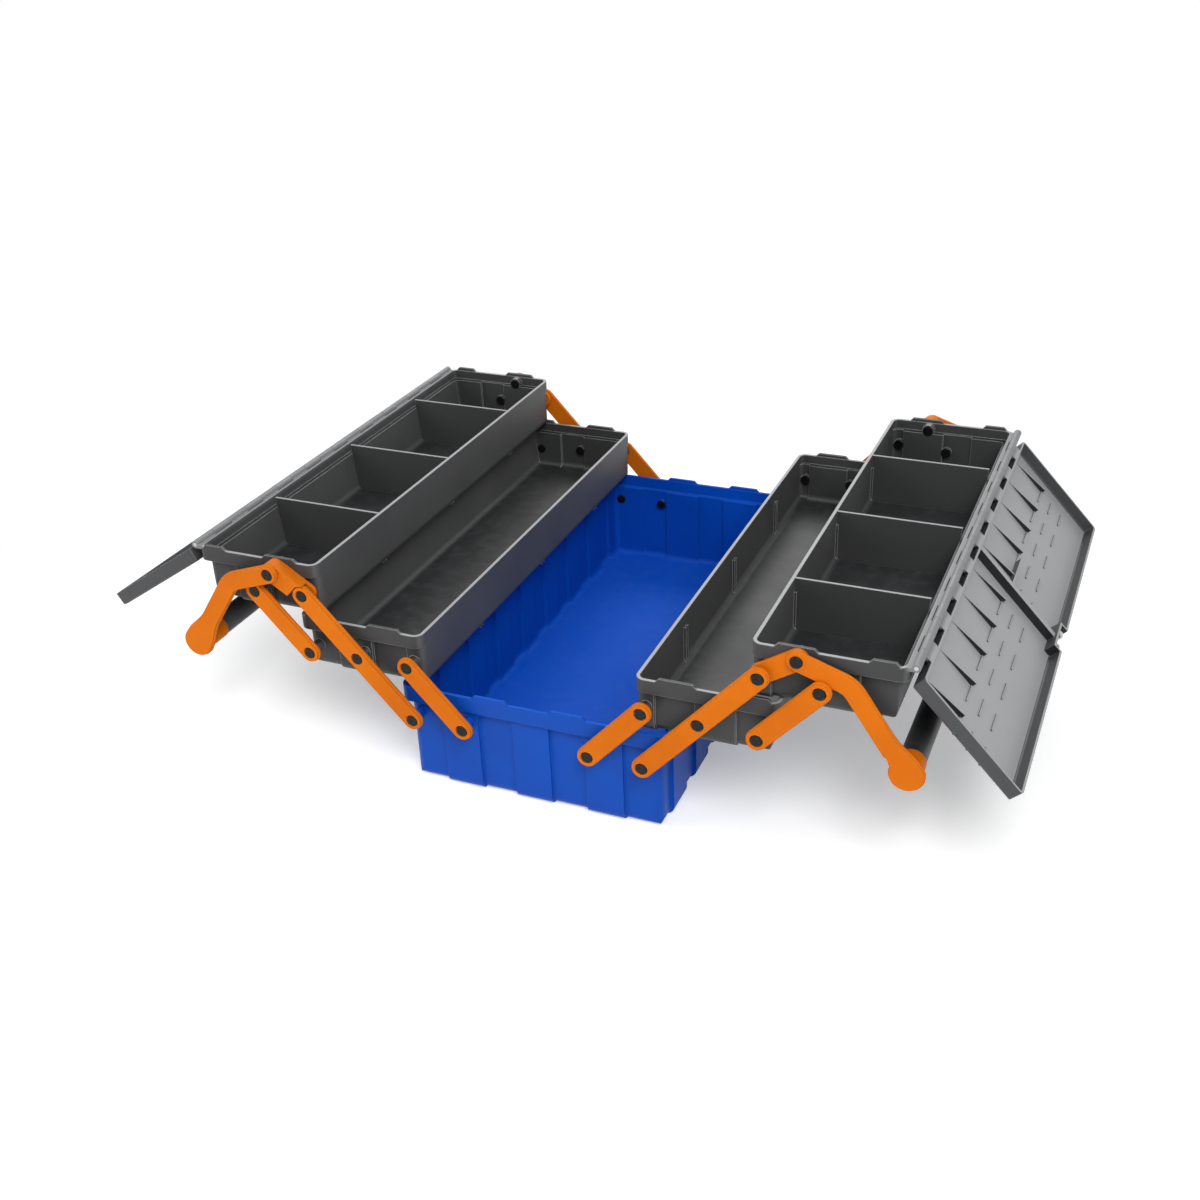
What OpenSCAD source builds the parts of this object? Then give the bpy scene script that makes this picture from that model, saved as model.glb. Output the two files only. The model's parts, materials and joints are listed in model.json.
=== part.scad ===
// Cantilever tool box, standing opened out.
// A deep base tub carries two trays on each side. Long levers and short parallel
// links at both ends swing the trays up and over the base and keep them level.
// Each upper tray has a hinged lid along its outer rim and its own carrying handle.
// X runs across the box, Y along it with the front end at -Y, Z is up.
// The middle of the underside of the base is the origin. Sizes are in millimetres.

/* [Piece] */
// Name of the one piece to draw, or all for the whole box

/* [Tubs] */
// Length of base and trays over their rims
box_len = 440; // [360:1:560]
// Width of the base over its rim
base_w = 223; // [200:1:260]
// Height of the base tub
base_h = 88; // [80:1:120]
// Height of each tray
tray_h = 46.5; // [44:0.1:47]
// Thickness of the tub walls
wall_t = 2.6; // [2:0.1:3]
// Thickness of the tub floors
floor_t = 2.8; // [2:0.1:4]
// Radius of the lower edges and upright corners
corner_r = 8; // [5:0.5:11]
// Height of the rim band round the base
base_rim_h = 13.5; // [10:0.5:16]
// Height of the rim band round each tray
tray_rim_h = 11; // [9:0.1:12]
// How far the end walls stand back behind the rim
end_setback = 5.5; // [5:0.1:7]
// How far the side walls of the base stand back behind the rim
base_side_setback = 4.5; // [4:0.1:6]
// How far the outer wall of a tray stands back behind the rim
tray_side_setback = 3.5; // [3:0.1:5]
// How far the outer wall of a tray leans in towards its floor
tray_lean = 4; // [2:0.1:6]
// How far the pilaster panels stand proud of the walls
panel_proud = 2.7; // [1.5:0.1:2.9]
// Width of the three end panels of the base
base_panel_w = 31; // [20:1:38]
// Spacing of the end panels of the base
base_panel_pitch = 61; // [45:1:66]
// Number of panels along each long side of the base
side_panel_count = 8; // [4:1:9]
// Share of the side panel spacing that a panel fills
side_panel_share = 0.56; // [0.3:0.02:0.7]
// Inner edge, from the tray's inner face, of the broad end panel of a tray
tray_panel_from = 46; // [40:1:50]
// Width of the broad end panel of a tray
tray_panel_w = 31; // [20:1:34]
// Width of the half panel at the inner corner of a tray
tray_corner_panel_w = 14.5; // [12:0.5:18]
// Height of the lugs that stand on the end rims
lug_h = 3; // [1.5:0.5:4]
// Thickness of the lugs along the box
lug_t = 2.3; // [1.5:0.1:2.5]
// How much narrower a lug is at its top
lug_slope = 6; // [2:0.5:8]
// Length of the slot ribs' reach from a tray's walls
slot_rib_depth = 2.2; // [1.5:0.1:3]
// Thickness of each slot rib
slot_rib_t = 1.6; // [1:0.1:2.5]
// Thickness of the loose dividers
divider_t = 2; // [1.5:0.1:3]
// Places of the three dividers along the upper trays
divider_ys = [-117, 6, 128];

/* [Stacking] */
// Gap between the two closed halves at the middle
middle_gap = 1; // [0.6:0.1:2]
// How far the closed trays stay inside the base rim
tray_inset = 1; // [0.5:0.1:3]
// Gap between one closed tub and the next
stack_gap = 0.4; // [0.3:0.1:0.8]

/* [Levers and links] */
// Sideways run of one link step
link_run = 44; // [42:0.5:46]
// How much more one link step rises than a tray is high
link_lift = 1.5; // [1:0.1:2]
// Depth of the fixed pivots below the top of the base
pivot_drop = 24.5; // [22:0.5:28]
// Distance of the innermost closed pivots from the middle
edge_pivot = 9; // [8.8:0.1:10]
// How much lower the outer links are mounted than the levers
outer_drop = 3; // [2:0.5:5]
// Width of levers and links
link_w = 16.5; // [14:0.1:16.6]
// How much narrower the raised face of a link is on each edge
link_step = 0.8; // [0.4:0.1:1.2]
// Thickness of levers and links
link_t = 4.2; // [3.5:0.1:5]
// Distance of the links' back faces from the rims
link_off = 6.5; // [6.4:0.1:7]
// Gap between faces that slide past each other
slide_gap = 0.3; // [0.25:0.05:0.4]
// Radius of the bosses behind the pivots
boss_r = 4.5; // [4:0.1:4.6]

/* [Rivets] */
// Radius of the rivet shanks
rivet_r = 3; // [2.5:0.1:3.2]
// Running clearance round a shank
rivet_play = 0.05; // [0.03:0.01:0.09]
// Clearance round the two shanks that close each linkage
loop_play = 0.15; // [0.1:0.01:0.25]
// Radius of the rivet heads
rivet_head_r = 4.8; // [4.2:0.1:5]
// Thickness of the rivet heads
rivet_head_t = 1.3; // [1:0.1:1.5]
// Clearance round a head in its recess
head_play = 0.3; // [0.2:0.05:0.5]
// Clearance under a head
head_lift = 0.1; // [0.05:0.05:0.2]
// Radius of the dimple in a rivet head
dimple_r = 1.3; // [0.8:0.1:2]
// Depth of the dimple in a rivet head
dimple_d = 0.6; // [0.3:0.1:0.8]
// Thickness of the inner rivet heads
tail_t = 1; // [0.8:0.1:1.2]

/* [Handles] */
// Distance of the handle pivot from the upper lever pivot
bracket_len = 30.8; // [29:0.1:32]
// Upward slope of the handle bracket in degrees
bracket_slope = 32.4; // [30:0.1:35]
// Width of the handle bracket
bracket_w = 16; // [13:0.5:16.5]
// Thickness of the bracket's back plate
bracket_plate_t = 2.8; // [2:0.1:2.8]
// Width of the handle arms
arm_w = 15.6; // [13:0.1:15.8]
// Length of the arm from its pivot to the bend
arm_upper_len = 40; // [36:0.5:42]
// Length of the arm from the bend to the grip
arm_lower_len = 75; // [72:0.5:80]
// Downward slope of the upper part of the arm in degrees
arm_upper_slope = 18.5; // [16:0.5:19]
// Downward slope of the lower part of the arm in degrees
arm_lower_slope = 56; // [54:0.5:56.5]
// Centreline radius of the arm's bend
bend_r = 20; // [16:0.5:26]
// Thickness of the arms that lie outside the links
outer_arm_t = 4.2; // [3:0.1:5]
// Thickness of the arms that lie behind the links
inner_arm_t = 3; // [2.4:0.1:3]
// Clearance on both faces of an arm
arm_gap = 0.35; // [0.3:0.05:0.4]
// Radius of the rounded end that holds the grip
hand_r = 13; // [11.5:0.5:14]
// Radius of the sleeve between the arm and the grip
sleeve_r = 10.2; // [10:0.1:10.4]
// Distance of the sleeve's mouth inside the rim line
sleeve_in = 13; // [8:0.5:16]
// Length over which the sleeve of an inner arm flares out to the arm
flare_len = 5; // [3:0.5:5]
// Radius of the grip bar
grip_r = 9.6; // [9:0.1:9.9]
// Radius of the grip's spigots inside the sleeves
spigot_r = 7; // [6:0.1:7.5]
// Clearance round a spigot
spigot_play = 0.1; // [0.05:0.05:0.2]

/* [Lids] */
// Distance of the hinge axis outside the tray's rim
hinge_out = 4; // [3.8:0.1:4.6]
// Outer radius of the hinge knuckles
knuckle_r = 3.2; // [2.8:0.1:3.4]
// Radius of the hinge rod
rod_r = 1.55; // [1.3:0.05:1.6]
// Clearance round the hinge rod
rod_play = 0.05; // [0.03:0.01:0.09]
// Number of knuckles along one hinge
knuckle_count = 19; // [9:2:25]
// Gap between neighbouring knuckles
knuckle_gap = 0.6; // [0.4:0.1:1]
// Depth of the lid from its rim to its outer face
lid_h = 12; // [10:0.5:12]
// Thickness of the lid's skin and walls
lid_t = 2; // [1.6:0.1:2.6]
// Radius of the lid's corners and outer edges
lid_corner_r = 4; // [3:0.5:6]
// Distance of the lid's back wall from the hinge axis
lid_back = 9; // [8.8:0.1:11]
// Gap between the lid's ends and the lugs on the tray
lid_end_gap = 0.5; // [0.4:0.1:1]
// How far the right lid hangs below level in degrees
right_hang = 47; // [30:1:48]
// How far the left lid hangs below level in degrees
left_hang = 33; // [25:1:48]
// Number of wedge ribs inside a lid
wedge_count = 10; // [6:2:12]
// Distance of the wedge ribs' thin ends from the back wall
wedge_from = 6; // [2:0.5:12]
// Length of the wedge ribs
wedge_len = 36; // [25:1:44]
// Height of the wedge ribs at their far ends
wedge_h = 4.5; // [3:0.5:6]
// Thickness of the wedge ribs
wedge_t = 1.8; // [1.2:0.1:3]
// Height of the low ribs inside a lid
low_rib_h = 1; // [0.6:0.1:2]
// Width of the low ribs inside a lid
low_rib_w = 1.2; // [0.8:0.1:2]
// Distance between the rows of low ribs
low_rib_pitch = 14; // [8:1:18]
// Share of the wedge spacing that a low rib takes
low_rib_share = 0.5; // [0.3:0.05:0.8]
// Length of the stop bar beside the middle ridge
stop_len = 46; // [30:1:56]
// Height of the stop bar
stop_h = 6; // [4:0.5:8]
// Width of the ridge across the middle of the lid
ridge_w = 6; // [4:0.5:9]
// Height of the ridge across the middle of the lid
ridge_h = 7; // [4:0.5:8]
// Width of the latch notch in the free edge
notch_w = 34; // [24:1:44]
// Depth of the latch notch from the free edge
notch_in = 7; // [5:0.5:9]
// Size across the two eyelets of the hasp
hasp_w = 26; // [18:1:30]
// Radius of a hasp eyelet
eyelet_r = 3.6; // [3:0.1:4]
// Thickness of a hasp eyelet
eyelet_t = 3; // [2:0.1:4]
// Thickness of the hasp's foot plate
hasp_t = 1.6; // [1:0.1:2]

/* [Hidden] */
$fn = 64;
// Blue of the base
base_blue = [0.08, 0.27, 0.68];
// Dark grey of the trays and lids
tray_grey = [0.27, 0.28, 0.29];
// Lighter grey of the lids
lid_grey = [0.45, 0.46, 0.47];
// Orange of the levers, links and handle arms
link_orange = [0.93, 0.5, 0.13];
// Black of the rivets
rivet_black = [0.06, 0.06, 0.07];
// Bright metal of rods, screws and hasps
bright_metal = [0.72, 0.73, 0.74];
// Overrun of cutting solids past the faces that they cut
cut = 1;
// Overlap that lets round and straight edges cross cleanly where they run together
hair = 0.02;
// Angle by which a bend runs into its straight neighbours
seam_turn = 1;
// Share of an eyelet's radius that is half the width of its neck
neck_share = 0.66;
// Half length of the tubs over their rims
half_len = box_len / 2;
// Half length inside the recessed end walls, where the rivets' inner heads seat
seat_y = half_len - end_setback - wall_t;
// Width of one tray
tray_w = (base_w - middle_gap) / 2 - tray_inset;
// Height at which each tray's floor stands
lower_z = base_h + stack_gap;
upper_z = lower_z + tray_h + stack_gap;
// Inner faces of the opened trays
lower_x = middle_gap / 2 + 2 * link_run;
upper_x = middle_gap / 2 + 4 * link_run;
// Height of the fixed pivots on the base
base_pivot_z = base_h - pivot_drop;
// Rise of one link step
link_rise = tray_h + link_lift;
// One link step from pivot to pivot, opened out
step = [link_run, link_rise];
// Pivots on the right side in X and Z
lever_base = [edge_pivot + 2 * link_run, base_pivot_z];
lever_mid = lever_base + step;
lever_top = lever_mid + step;
inner_base = [edge_pivot + link_run, base_pivot_z];
inner_top = inner_base + step;
outer_base = lever_mid + [link_run, -outer_drop];
outer_top = outer_base + step;
handle_pivot = lever_top + bracket_len * [cos(bracket_slope), sin(bracket_slope)];
// Bend of the arm and middle of the grip
arm_bend = handle_pivot + arm_upper_len * [cos(arm_upper_slope), -sin(arm_upper_slope)];
grip_at = arm_bend + arm_lower_len * [cos(arm_lower_slope), -sin(arm_lower_slope)];
// Outer face of the levers and links from the rim
link_face = link_off + link_t;
// Back faces of the two kinds of handle arm from the rim
outer_arm_off = link_face + arm_gap;
inner_arm_off = bracket_plate_t + arm_gap;
// Hinge axis in X and Z
hinge_at = [upper_x + tray_w + hinge_out, upper_z + tray_h];
// Half length of the lid and of the hinge
lid_half = half_len - lug_t - lid_end_gap;
knuckle_pitch = 2 * lid_half / knuckle_count;
// Free edge, back wall and underside of the closed lid over the opened tray
lid_x0 = upper_x;
lid_x1 = hinge_at[0] - lid_back;
lid_z0 = hinge_at[1] + stack_gap;
lid_z1 = lid_z0 + lid_h;

// Shares of the tray width between which the end lugs stand
lug_shares = [[0.15, 0.44], [0.75, 0.95]];

// Placing

// Puts a right-hand shape on the right (1) or mirrors it to the left (-1).
module on_side(s) mirror([s < 0 ? 1 : 0, 0, 0]) children();

// Puts a front-end shape on the front (-1) or mirrors it to the rear (1).
module on_end(e) mirror([0, e > 0 ? 1 : 0, 0]) children();

// Stands an X-Z drawing at the front end, facing out, its back at this distance from the rim.
module facing_out(off) translate([0, -half_len - off, 0]) rotate([90, 0, 0]) children();

// Plain shapes

// Rectangle in plan with round corners.
module round_plan(x0, x1, half, r) {
    translate([x0 + r, -half]) square([x1 - x0 - 2 * r, 2 * half]);
    translate([x0, r - half]) square([x1 - x0, 2 * (half - r)]);
    for (x = [x0 + r, x1 - r], y = [r - half, half - r]) translate([x, y]) circle(r);
}

// Upright section of a tub, flat on the ground with round lower corners.
// Each side may lean in towards the floor.
module tub_section(x0, x1, lean0, lean1, h, r) {
    a0 = atan2(lean0, h);
    a1 = atan2(lean1, h);
    c0 = x0 + lean0 - r * tan(a0) + r / cos(a0);
    c1 = x1 - lean1 + r * tan(a1) - r / cos(a1);
    polygon([
        [x0, h], [c0 - r * cos(a0), r - r * sin(a0)], [c0, 0],
        [c1, 0], [c1 + r * cos(a1), r - r * sin(a1)], [x1, h]
    ]);
    translate([c0, r]) circle(r);
    translate([c1, r]) circle(r);
}

// Solid tub form with round upright corners and round lower edges.
module tub_block(x0, x1, half, lean0, lean1, h, r) intersection() {
    linear_extrude(h) round_plan(x0, x1, half, r);
    rotate([90, 0, 0]) linear_extrude(2 * (half + cut), center = true)
        tub_section(x0, x1, lean0, lean1, h, r);
    translate([x0 - cut, 0, 0]) rotate([90, 0, 90]) linear_extrude(x1 - x0 + 2 * cut)
        tub_section(-half, half, 0, 0, h, r);
}

// Bar in a drawing between two points, round at both ends.
// The round ends are a hair wider than the bar, so that each meets its sides in a clean crossing.
module bar(a, b, w) {
    d = b - a;
    for (p = [a, b]) translate(p) circle(w / 2 + hair);
    translate(a) rotate(atan2(d[1], d[0])) translate([0, -w / 2]) square([norm(d), w]);
}

// Tubs

// Solid body of a tray or its hollow, made smaller all round by the inset.
module tray_form(x0, inset) {
    outer = x0 + tray_w - tray_side_setback - inset;
    inner = x0 + inset;
    half = half_len - end_setback - inset;
    h = tray_h - (inset > 0 ? floor_t : 0);
    r = corner_r - inset;
    tub_block(inner, outer, half, 0, tray_lean, h, r);
    intersection() {
        tub_block(inner, outer, half + panel_proud, 0, tray_lean, h, r);
        linear_extrude(h) for (span = [
            [0, tray_corner_panel_w], [tray_panel_from, tray_panel_from + tray_panel_w]])
            translate([x0 + span[0] + inset, -half_len])
                square([span[1] - span[0] - 2 * inset, box_len]);
    }
}

// Solid body of the base or its hollow, made smaller all round by the inset.
module base_form(inset) {
    side = base_w / 2 - base_side_setback - inset;
    half = half_len - end_setback - inset;
    h = base_h - (inset > 0 ? floor_t : 0);
    r = corner_r - inset;
    pitch = 2 * (half_len - end_setback - corner_r) / side_panel_count;
    tub_block(-side, side, half, 0, 0, h, r);
    intersection() {
        tub_block(-side, side, half + panel_proud, 0, 0, h, r);
        linear_extrude(h) for (i = [-1:1]) translate([i * base_panel_pitch, 0])
            square([base_panel_w - 2 * inset, box_len], center = true);
    }
    intersection() {
        tub_block(-side - panel_proud, side + panel_proud, half, 0, 0, h, r);
        linear_extrude(h) for (i = [0:side_panel_count - 1])
            translate([0, (i - (side_panel_count - 1) / 2) * pitch])
                square([base_w, pitch * side_panel_share - 2 * inset], center = true);
    }
}

// Rim band of a tub with its inner step cut out later by rim_hollow.
module rim_band(x0, x1, z, rim_h)
    translate([0, 0, z - rim_h]) linear_extrude(rim_h) round_plan(x0, x1, half_len, corner_r);

module rim_hollow(x0, x1, z, rim_h) translate([0, 0, z - rim_h + wall_t])
    linear_extrude(rim_h) round_plan(x0 + wall_t, x1 - wall_t, half_len - wall_t, corner_r - wall_t);

// Column through an end wall that stands a link off from the rim.
module pivot_boss(at) facing_out(seat_y - half_len) translate(at)
    cylinder(r = boss_r, h = half_len - seat_y + link_off - slide_gap);

// Column behind the rim that the handle's rivet goes through.
module rim_boss(at) facing_out(seat_y - half_len) translate(at)
    cylinder(r = tray_rim_h / 2, h = half_len - seat_y - wall_t / 2);

// Rivet hole through an end wall, its boss and the rim, with a spot face for the inner head.
module pivot_hole(at) {
    facing_out(seat_y - half_len - cut) translate(at)
        cylinder(r = rivet_r + rivet_play, h = half_len - seat_y + link_off + cut);
    facing_out(seat_y - half_len - tail_t - cut) translate(at)
        cylinder(r = boss_r + head_play, h = tail_t + cut);
}

// Lug on an end rim between two places across the box.
module rim_lug(x0, x1, z) facing_out(-lug_t) linear_extrude(lug_t)
    polygon([[x0, z - cut], [x0, z], [x0 + lug_slope / 2, z + lug_h],
        [x1 - lug_slope / 2, z + lug_h], [x1, z], [x1, z - cut]]);

// Slot ribs in pairs that hold one divider on both long walls of a tray.
module slot_ribs(x0, y) {
    x1 = x0 + tray_w - tray_side_setback;
    top = tray_h - tray_rim_h;
    pair = divider_t + slot_rib_t + 2 * slide_gap;
    for (side = [-1, 1]) translate([0, y + side * pair / 2, 0]) rotate([90, 0, 0])
        linear_extrude(slot_rib_t, center = true) {
            translate([x0 + wall_t / 2, floor_t / 2])
                square([wall_t / 2 + slot_rib_depth, top - floor_t / 2]);
            polygon([
                [x1 - tray_lean - wall_t - slot_rib_depth, floor_t / 2],
                [x1 - wall_t - slot_rib_depth - tray_lean * tray_rim_h / tray_h, top],
                [x1 - wall_t / 2 - tray_lean * tray_rim_h / tray_h, top],
                [x1 - wall_t / 2 - tray_lean, corner_r], [x1 - tray_lean - corner_r, floor_t / 2]
            ]);
        }
}

// Tray with its inner face at x0 and its floor at z. Pivots are given in X and Z.
module tray(x0, z, pivots, rim_pivots) difference() {
    union() {
        difference() {
            union() {
                translate([0, 0, z]) tray_form(x0, 0);
                rim_band(x0, x0 + tray_w, z + tray_h, tray_rim_h);
            }
            translate([0, 0, z + floor_t]) tray_form(x0, wall_t);
            rim_hollow(x0, x0 + tray_w, z + tray_h, tray_rim_h);
        }
        for (e = [-1, 1]) on_end(e) {
            for (p = pivots) pivot_boss(p);
            for (p = rim_pivots) rim_boss(p);
            for (span = lug_shares * tray_w)
                rim_lug(x0 + span[0], x0 + span[1], z + tray_h);
        }
        for (y = divider_ys) translate([0, 0, z]) slot_ribs(x0, y);
    }
    for (e = [-1, 1]) on_end(e) for (p = concat(pivots, rim_pivots)) pivot_hole(p);
}

module base_body() difference() {
    union() {
        difference() {
            union() {
                base_form(0);
                rim_band(-base_w / 2, base_w / 2, base_h, base_rim_h);
            }
            translate([0, 0, floor_t]) base_form(wall_t);
            rim_hollow(-base_w / 2, base_w / 2, base_h, base_rim_h);
        }
        for (s = [-1, 1], e = [-1, 1]) on_side(s) on_end(e) {
            pivot_boss(lever_base);
            pivot_boss(inner_base);
            rim_lug(lug_shares[0][0] * tray_w, lug_shares[0][1] * tray_w, base_h);
        }
    }
    for (s = [-1, 1], e = [-1, 1]) on_side(s) on_end(e) {
        pivot_hole(lever_base);
        pivot_hole(inner_base);
    }
}

// Hinge and lids, drawn closed over the opened right tray

// Hinge knuckles of one leaf: every second one from the first (0) or the second (1).
module knuckles(first) for (i = [first:2:knuckle_count - 1])
    translate([hinge_at[0], (i - (knuckle_count - 1) / 2) * knuckle_pitch, hinge_at[1]])
        children();

module knuckle_barrel() rotate([90, 0, 0])
    cylinder(r = knuckle_r, h = knuckle_pitch - knuckle_gap, center = true);

module hinge_bore(r) translate([hinge_at[0], half_len, hinge_at[1]]) rotate([90, 0, 0])
    cylinder(r = r, h = box_len);

module upper_tray_body() difference() {
    union() {
        tray(upper_x, upper_z, [lever_top, outer_top], [handle_pivot]);
        knuckles(0) {
            knuckle_barrel();
            translate([-hinge_out - wall_t / 2, (knuckle_gap - knuckle_pitch) / 2, -knuckle_r])
                cube([hinge_out + wall_t / 2, knuckle_pitch - knuckle_gap, knuckle_r]);
        }
    }
    hinge_bore(rod_r + rod_play);
}

// Lid form with its open side down, made smaller by the inset.
module lid_block(inset) translate([0, 0, lid_z1 - inset]) mirror([0, 0, 1])
    tub_block(lid_x0 + inset, lid_x1 - inset, lid_half - inset, 0, 0, lid_h, lid_corner_r - inset);

// Wedge rib that rises from the skin as it leaves the hinge side.
module wedge_rib() rotate([90, 0, 0]) linear_extrude(wedge_t, center = true)
    polygon([
        [lid_x1 - lid_t - wedge_from, lid_z1 - lid_t / 2], [lid_x1 - lid_t - wedge_from, lid_z1 - lid_t],
        [lid_x1 - lid_t - wedge_from - wedge_len, lid_z1 - lid_t - wedge_h],
        [lid_x1 - lid_t - wedge_from - wedge_len, lid_z1 - lid_t / 2]
    ]);

// Rib along the lid with its middle at y, standing on the skin at x.
module low_rib(x, y, len, w, h) translate([x, y - len / 2, lid_z1 - lid_t - h])
    cube([w, len, h + lid_t / 2]);

module lid_inside() {
    pitch = 2 * lid_half / wedge_count;
    far = lid_x1 - lid_t - wedge_from - wedge_len;
    for (i = [0:wedge_count - 1]) {
        y = (i - (wedge_count - 1) / 2) * pitch;
        translate([0, y, 0]) wedge_rib();
        for (row = [0:2]) low_rib(far - row * low_rib_pitch, y - pitch * low_rib_share / 2,
            pitch * low_rib_share, low_rib_w, low_rib_h);
    }
    low_rib(far - low_rib_w, stop_len / 2 + ridge_w / 2, stop_len, 2 * low_rib_w, stop_h);
    translate([lid_x0 + notch_in, -ridge_w / 2, lid_z1 - lid_t - ridge_h])
        cube([lid_x1 - lid_x0 - notch_in - lid_t / 2, ridge_w, ridge_h + lid_t / 2]);
    translate([lid_x0 + lid_t / 2, -notch_w / 2 - lid_t, lid_z0])
        cube([notch_in + lid_t / 2, notch_w + 2 * lid_t, lid_h - lid_t / 2]);
}

module lid_closed() difference() {
    union() {
        difference() {
            lid_block(0);
            lid_block(lid_t);
        }
        lid_inside();
        knuckles(1) {
            knuckle_barrel();
            translate([-lid_back - lid_t / 2, (knuckle_gap - knuckle_pitch) / 2, stack_gap])
                cube([lid_back + lid_t / 2, knuckle_pitch - knuckle_gap, knuckle_r - stack_gap]);
        }
    }
    translate([lid_x0 - cut, -notch_w / 2, lid_z0 - cut])
        cube([notch_in + cut, notch_w, lid_h - lid_t + cut]);
    hinge_bore(rod_r + rod_play);
}

// Foot plate and two eyelets seated on the skin inside the notch.
module hasp_closed() {
    ring_r = eyelet_r - slide_gap;
    translate([lid_x0 + notch_in / 2, 0, lid_z1 - lid_t - hasp_t]) {
        translate([-ring_r, -hasp_w / 2, 0]) cube([2 * ring_r, hasp_w, hasp_t]);
        for (y = [-1, 1] * (hasp_w / 2 - eyelet_t)) translate([0, y, -eyelet_r])
            rotate([90, 0, 0]) linear_extrude(eyelet_t, center = true) difference() {
                union() {
                    circle(ring_r);
                    translate([-eyelet_r * neck_share, 0])
                        square([2 * eyelet_r * neck_share, eyelet_r + hasp_t / 2]);
                }
                circle(eyelet_r / 2);
            }
    }
}

// Turns what is drawn closed back about the hinge until it hangs this far below level.
module hung(hang) translate([hinge_at[0], 0, hinge_at[1]]) rotate([0, 180 + hang, 0])
    translate([-hinge_at[0], 0, -hinge_at[1]]) children();

// Levers, links and rivets at the front right corner

// Two-step moulding over the drawing given by a width.
module link(a, b, others, loop_end) difference() {
    facing_out(link_off) {
        linear_extrude(link_t) bar(a, b, link_w - 2 * link_step);
        linear_extrude(link_t / 2) bar(a, b, link_w);
    }
    for (p = concat([a, b], others)) rivet_seat(p, link_off, link_t,
        p == b && loop_end ? loop_play : rivet_play);
}

// Hole for a shank and a recess for its head in the outer face.
module rivet_seat(at, off, t, play) {
    facing_out(off - cut) translate(at) cylinder(r = rivet_r + play, h = t + 2 * cut);
    facing_out(off + t - rivet_head_t - 2 * head_lift) translate(at)
        cylinder(r = rivet_head_r + head_play, h = rivet_head_t + 2 * head_lift + cut);
}

// Rivet with its inner head on the end wall and its outer head's back at this distance.
module rivet(at, head_off) {
    reach = half_len + head_off - seat_y + tail_t;
    facing_out(seat_y - tail_t - half_len) translate(at) {
        cylinder(r = boss_r, h = tail_t);
        cylinder(r = rivet_r, h = reach);
        translate([0, 0, reach]) difference() {
            cylinder(r1 = rivet_head_r, r2 = rivet_head_r - rivet_head_t / 2, h = rivet_head_t);
            translate([0, 0, rivet_head_t - dimple_d]) cylinder(r = dimple_r, h = dimple_d + cut);
        }
    }
}

module link_rivet(at) rivet(at, link_face - rivet_head_t - head_lift);

// Handles

// Drawing of a handle arm with its round end at the grip.
module arm_outline(w, end_r) {
    turn = arm_lower_slope - arm_upper_slope;
    back = bend_r * tan(turn / 2);
    u = [cos(arm_upper_slope), -sin(arm_upper_slope)];
    v = [cos(arm_lower_slope), -sin(arm_lower_slope)];
    far = 2 * bend_r;
    bar(handle_pivot, arm_bend - back * u, w);
    bar(arm_bend + back * v, grip_at, w);
    translate(arm_bend - back * u + bend_r * [u[1], -u[0]]) intersection() {
        difference() {
            circle(bend_r + w / 2);
            circle(bend_r - w / 2);
        }
        polygon([[0, 0], for (i = [-1:1]) let (a = 90 - (arm_upper_slope + arm_lower_slope) / 2
            - i * (turn / 2 + seam_turn)) far * [cos(a), sin(a)]]);
    }
    translate(grip_at) circle(end_r);
}

// Arm with the sleeve that takes the grip. The recess is only for arms outside the links.
module handle_arm(off, t) difference() {
    union() {
        facing_out(off) {
            linear_extrude(t) arm_outline(arm_w - 2 * link_step, hand_r - link_step);
            linear_extrude(t / 2) arm_outline(arm_w, hand_r);
        }
        facing_out(-sleeve_in) translate(grip_at) cylinder(r = sleeve_r, h = sleeve_in + off + t / 2);
    }
    facing_out(-sleeve_in - cut) translate(grip_at)
        cylinder(r = spigot_r + spigot_play, h = sleeve_in + off + cut);
}

module outer_arm() difference() {
    handle_arm(outer_arm_off, outer_arm_t);
    rivet_seat(handle_pivot, outer_arm_off, outer_arm_t, rivet_play);
}

// The inner arm is scalloped where it meets the closed outer link's boss, and its sleeve flares.
module inner_arm() difference() {
    union() {
        handle_arm(inner_arm_off, inner_arm_t);
        facing_out(inner_arm_off - flare_len) translate(grip_at) difference() {
            cylinder(r1 = sleeve_r, r2 = hand_r - link_step, h = flare_len + inner_arm_t / 2);
            translate([0, 0, -cut]) cylinder(r = spigot_r + spigot_play, h = flare_len + cut);
        }
    }
    facing_out(0) translate(handle_pivot)
        cylinder(r = rivet_r + rivet_play, h = link_face);
    facing_out(0) translate(outer_top + [link_run, -link_rise])
        cylinder(r = boss_r + slide_gap, h = link_face);
}

// Plate held by the lever's boss and by the handle rivet on the rim.
module bracket_plate() difference() {
    facing_out(0) linear_extrude(bracket_plate_t) bar(lever_top, handle_pivot, bracket_w);
    facing_out(-cut) translate(lever_top)
        cylinder(r = boss_r + spigot_play, h = bracket_plate_t + 2 * cut);
    facing_out(-cut) translate(handle_pivot)
        cylinder(r = rivet_r + rivet_play, h = bracket_plate_t + 2 * cut);
}

// Block that carries the bracket out to the lever's face, hollowed round the lever's end.
module bracket_block() difference() {
    facing_out(bracket_plate_t) linear_extrude(link_face - bracket_plate_t) difference() {
        bar(lever_top, handle_pivot, bracket_w);
        bar(lever_top, lever_top + [link_run, -link_rise], link_w + 2 * slide_gap);
    }
    facing_out(0) translate(handle_pivot) cylinder(r = rivet_r + rivet_play, h = link_face + cut);
}

// Grip bar of the right handle with a short spigot in front and a long one behind.
module grip_bar() {
    front = half_len + inner_arm_off - spigot_play;
    rear = half_len + outer_arm_off - spigot_play;
    mouth = half_len - sleeve_in;
    grip_rod(-mouth, mouth, grip_r);
    grip_rod(-front, rear, spigot_r);
}

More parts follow.
